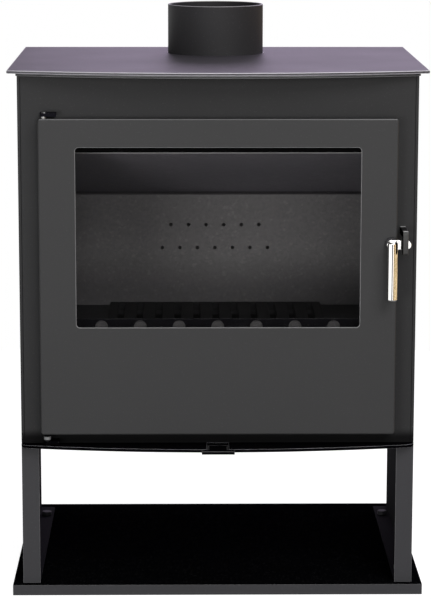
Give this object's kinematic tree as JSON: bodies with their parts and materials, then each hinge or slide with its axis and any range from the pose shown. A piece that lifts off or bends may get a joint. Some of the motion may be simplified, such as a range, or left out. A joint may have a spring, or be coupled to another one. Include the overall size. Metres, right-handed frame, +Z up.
{
  "type": "wood burning stove",
  "caption": "Steel wood burning stove on an open log store: glazed side-hinged door, bowed top plate and ash lip, top flue collar, pull-out air control.",
  "frame": {"origin": "on the floor, at the middle of the object's bounding box", "axes": "+X to the right as seen from the front, +Y from the door to the back, +Z up"},
  "size_m": [0.5478, 0.4524, 0.7702],
  "materials": {
    "stove_paint": "matt black heat-resistant paint",
    "plate_paint": "satin black heat-resistant paint with a cool sheen",
    "dark_steel": "dark matt steel",
    "cast_iron": "bare casting",
    "vermiculite": "pressed vermiculite board, smoked grey",
    "stainless": "polished stainless steel",
    "zinc_steel": "zinc-plated hinge pins",
    "ceramic_glass": "clear ceramic glass",
    "glass_rope": "black glass-fibre rope and tape"
  },
  "bodies": {
    "root": {"base_plate": "stove_paint", "stand_side_left": "stove_paint", "stand_side_right": "stove_paint", "base_bolt_left_front": "dark_steel", "base_bolt_left_rear": "dark_steel", "base_bolt_right_front": "dark_steel", "base_bolt_right_rear": "dark_steel", "floor_bolt_left_front": "dark_steel", "floor_bolt_left_rear": "dark_steel", "floor_bolt_right_front": "dark_steel", "floor_bolt_right_rear": "dark_steel", "floor_plate": "stove_paint", "body_side_left": "stove_paint", "body_side_right": "stove_paint", "front_frame": "stove_paint", "back_panel": "stove_paint", "blanking_plate": "stove_paint", "heat_shield": "stove_paint", "firebox_top": "stove_paint", "top_plate": "plate_paint", "flue_collar": "plate_paint", "brick_left": "vermiculite", "brick_right": "vermiculite", "brick_rear": "vermiculite", "brick_front": "vermiculite", "baffle_plate": "vermiculite", "airwash_deflector": "dark_steel", "firebed_plate": "dark_steel", "grate": "cast_iron", "log_retainer": "dark_steel", "ash_floor": "dark_steel", "ash_pan": "dark_steel", "hinge_bracket_lower": "stove_paint", "hinge_bracket_upper": "stove_paint", "hinge_pin_lower": "zinc_steel", "hinge_pin_upper": "zinc_steel", "hinge_spacer": "dark_steel", "latch_keeper": "stove_paint", "slide_guide_left": "stove_paint", "slide_guide_right": "stove_paint"},
    "door": {"door_panel": "stove_paint", "rope_channel": "dark_steel", "rope_seal": "glass_rope", "glass_gasket": "glass_rope", "door_glass": "ceramic_glass", "glass_clip_left_lower": "dark_steel", "glass_clip_left_upper": "dark_steel", "glass_clip_right_lower": "dark_steel", "glass_clip_right_upper": "dark_steel", "glass_rail": "dark_steel", "door_bush_lower": "dark_steel", "door_bush_upper": "dark_steel", "handle_boss": "dark_steel"},
    "handle": {"handle_spindle": "dark_steel", "spindle_nut": "dark_steel", "handle_tongue": "stainless", "handle_grip": "stainless"},
    "air_control": {"air_slider": "dark_steel", "air_shutter": "dark_steel"}
  },
  "joints": [
    {"name": "door_swing", "type": "hinge", "parent": "root", "child": "door", "pos_m": [-0.2253, -0.18875, 0.4319], "axis": [0, 0, -1], "range_deg": [0, 110]},
    {"name": "handle_turn", "type": "hinge", "parent": "door", "child": "handle", "pos_m": [0.2255, -0.19825, 0.478], "axis": [0, 1, 0], "range_deg": [0, 90]},
    {"name": "air_control_slide", "type": "slide", "parent": "root", "child": "air_control", "axis": [0, -1, 0], "range_m": [0, 0.035]}
  ]
}
